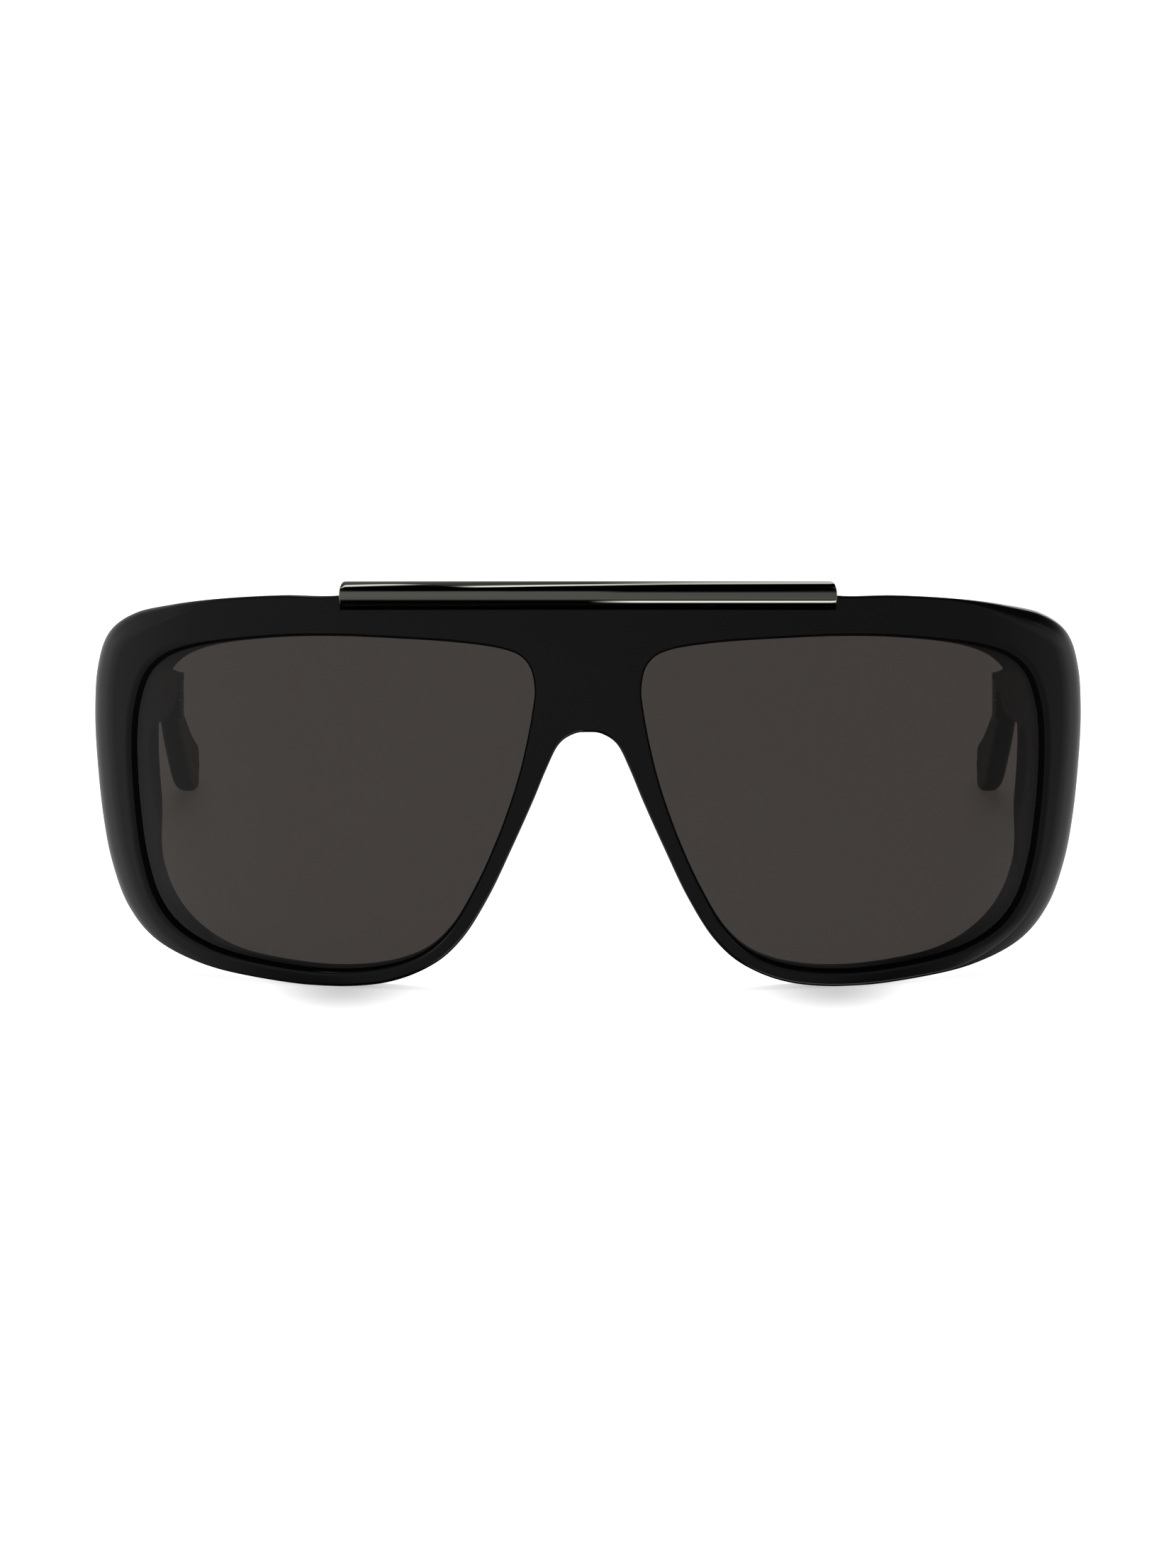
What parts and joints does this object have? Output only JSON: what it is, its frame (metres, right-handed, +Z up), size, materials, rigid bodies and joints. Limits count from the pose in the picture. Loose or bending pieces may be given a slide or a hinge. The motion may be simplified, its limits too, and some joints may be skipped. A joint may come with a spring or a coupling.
{
  "type": "navigator sunglasses",
  "caption": "Oversized navigator sunglasses with a wrapped black acetate front, a round polished metal bar along the brow, tinted lenses and folding temples.",
  "frame": {"origin": "middle of the footprint on the surface that the opened sunglasses stand on", "axes": "+Z up from that surface, +X to the wearer's left, +Y from the front towards the temple tips"},
  "size_m": [0.1488, 0.1599, 0.0622],
  "materials": {
    "acetate": "polished black cellulose acetate",
    "lens": "grey-brown tinted nylon, polished",
    "ruthenium": "mirror-polished dark ruthenium plating",
    "steel": "satin nickel-plated steel"
  },
  "bodies": {
    "front": {"front_frame": "acetate", "brow_bar": "ruthenium", "bar_screw_left": "steel", "bar_screw_right": "steel", "lens_left": "lens", "lens_right": "lens", "nose_pad_left": "acetate", "nose_pad_right": "acetate", "hinge_front_leaf_left": "steel", "hinge_front_leaf_right": "steel", "hinge_screw_left": "steel", "hinge_screw_right": "steel"},
    "temple_left": {"temple_left": "acetate", "hinge_temple_leaf_left": "steel", "temple_core_left": "steel"},
    "temple_right": {"temple_right": "acetate", "hinge_temple_leaf_right": "steel", "temple_core_right": "steel"}
  },
  "joints": [
    {"name": "temple_left_fold", "type": "hinge", "parent": "front", "child": "temple_left", "pos_m": [0.0626, -0.05025, 0.0397], "axis": [0, 0.2, 0.9798], "range_deg": [0, 85]},
    {"name": "temple_right_fold", "type": "hinge", "parent": "front", "child": "temple_right", "pos_m": [-0.0626, -0.05025, 0.0397], "axis": [0, -0.2, -0.9798], "range_deg": [0, 90.4]}
  ]
}
